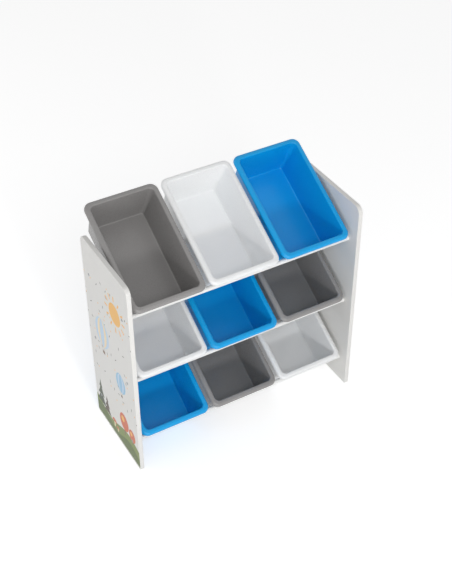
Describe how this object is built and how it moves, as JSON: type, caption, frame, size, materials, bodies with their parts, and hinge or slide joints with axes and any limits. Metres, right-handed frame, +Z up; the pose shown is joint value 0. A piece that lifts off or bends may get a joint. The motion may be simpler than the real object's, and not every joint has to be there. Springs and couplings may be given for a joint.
{
  "type": "toy storage organizer",
  "caption": "Children's toy organizer: two white side panels joined by round rods that hold three tiers of tilted, lift-out plastic bins.",
  "frame": {"origin": "on the floor, at the middle of the whole object's footprint", "axes": "+X to the user's right, +Y from the front to the back, +Z up"},
  "size_m": [0.64, 0.3068, 0.6508],
  "materials": {
    "panel_white": "white laminated board, satin",
    "rod_white": "white powder coat",
    "insert_nylon": "moulded nylon",
    "bolt_zinc": "bright zinc",
    "bin_gray": "moulded polypropylene, satin",
    "bin_white": "milky translucent polypropylene, satin",
    "bin_blue": "moulded polypropylene, satin"
  },
  "bodies": {
    "rack": {"left_side_panel": "panel_white", "right_side_panel": "panel_white", "front_rod_bottom": "rod_white", "front_rod_middle": "rod_white", "front_rod_top": "rod_white", "rear_rod_bottom": "rod_white", "rear_rod_middle": "rod_white", "rear_rod_top": "rod_white", "rod_inserts_left": "insert_nylon", "rod_inserts_right": "insert_nylon", "rod_bolts_left": "bolt_zinc", "rod_bolts_right": "bolt_zinc"},
    "bin_bottom_left": {"bin_bottom_left": "bin_blue"},
    "bin_bottom_centre": {"bin_bottom_centre": "bin_gray"},
    "bin_bottom_right": {"bin_bottom_right": "bin_white"},
    "bin_middle_left": {"bin_middle_left": "bin_white"},
    "bin_middle_centre": {"bin_middle_centre": "bin_blue"},
    "bin_middle_right": {"bin_middle_right": "bin_gray"},
    "bin_top_left": {"bin_top_left": "bin_gray"},
    "bin_top_centre": {"bin_top_centre": "bin_white"},
    "bin_top_right": {"bin_top_right": "bin_blue"}
  },
  "joints": [
    {"name": "lift_bottom_left", "type": "slide", "parent": "rack", "child": "bin_bottom_left", "axis": [0, -0.5, 0.866], "range_m": [0, 0.048]},
    {"name": "lift_bottom_centre", "type": "slide", "parent": "rack", "child": "bin_bottom_centre", "axis": [0, -0.5, 0.866], "range_m": [0, 0.048]},
    {"name": "lift_bottom_right", "type": "slide", "parent": "rack", "child": "bin_bottom_right", "axis": [0, -0.5, 0.866], "range_m": [0, 0.048]},
    {"name": "lift_middle_left", "type": "slide", "parent": "rack", "child": "bin_middle_left", "axis": [0, -0.5, 0.866], "range_m": [0, 0.048]},
    {"name": "lift_middle_centre", "type": "slide", "parent": "rack", "child": "bin_middle_centre", "axis": [0, -0.5, 0.866], "range_m": [0, 0.048]},
    {"name": "lift_middle_right", "type": "slide", "parent": "rack", "child": "bin_middle_right", "axis": [0, -0.5, 0.866], "range_m": [0, 0.048]},
    {"name": "lift_top_left", "type": "slide", "parent": "rack", "child": "bin_top_left", "axis": [0, -0.5, 0.866], "range_m": [0, 0.12]},
    {"name": "lift_top_centre", "type": "slide", "parent": "rack", "child": "bin_top_centre", "axis": [0, -0.5, 0.866], "range_m": [0, 0.12]},
    {"name": "lift_top_right", "type": "slide", "parent": "rack", "child": "bin_top_right", "axis": [0, -0.5, 0.866], "range_m": [0, 0.12]}
  ]
}
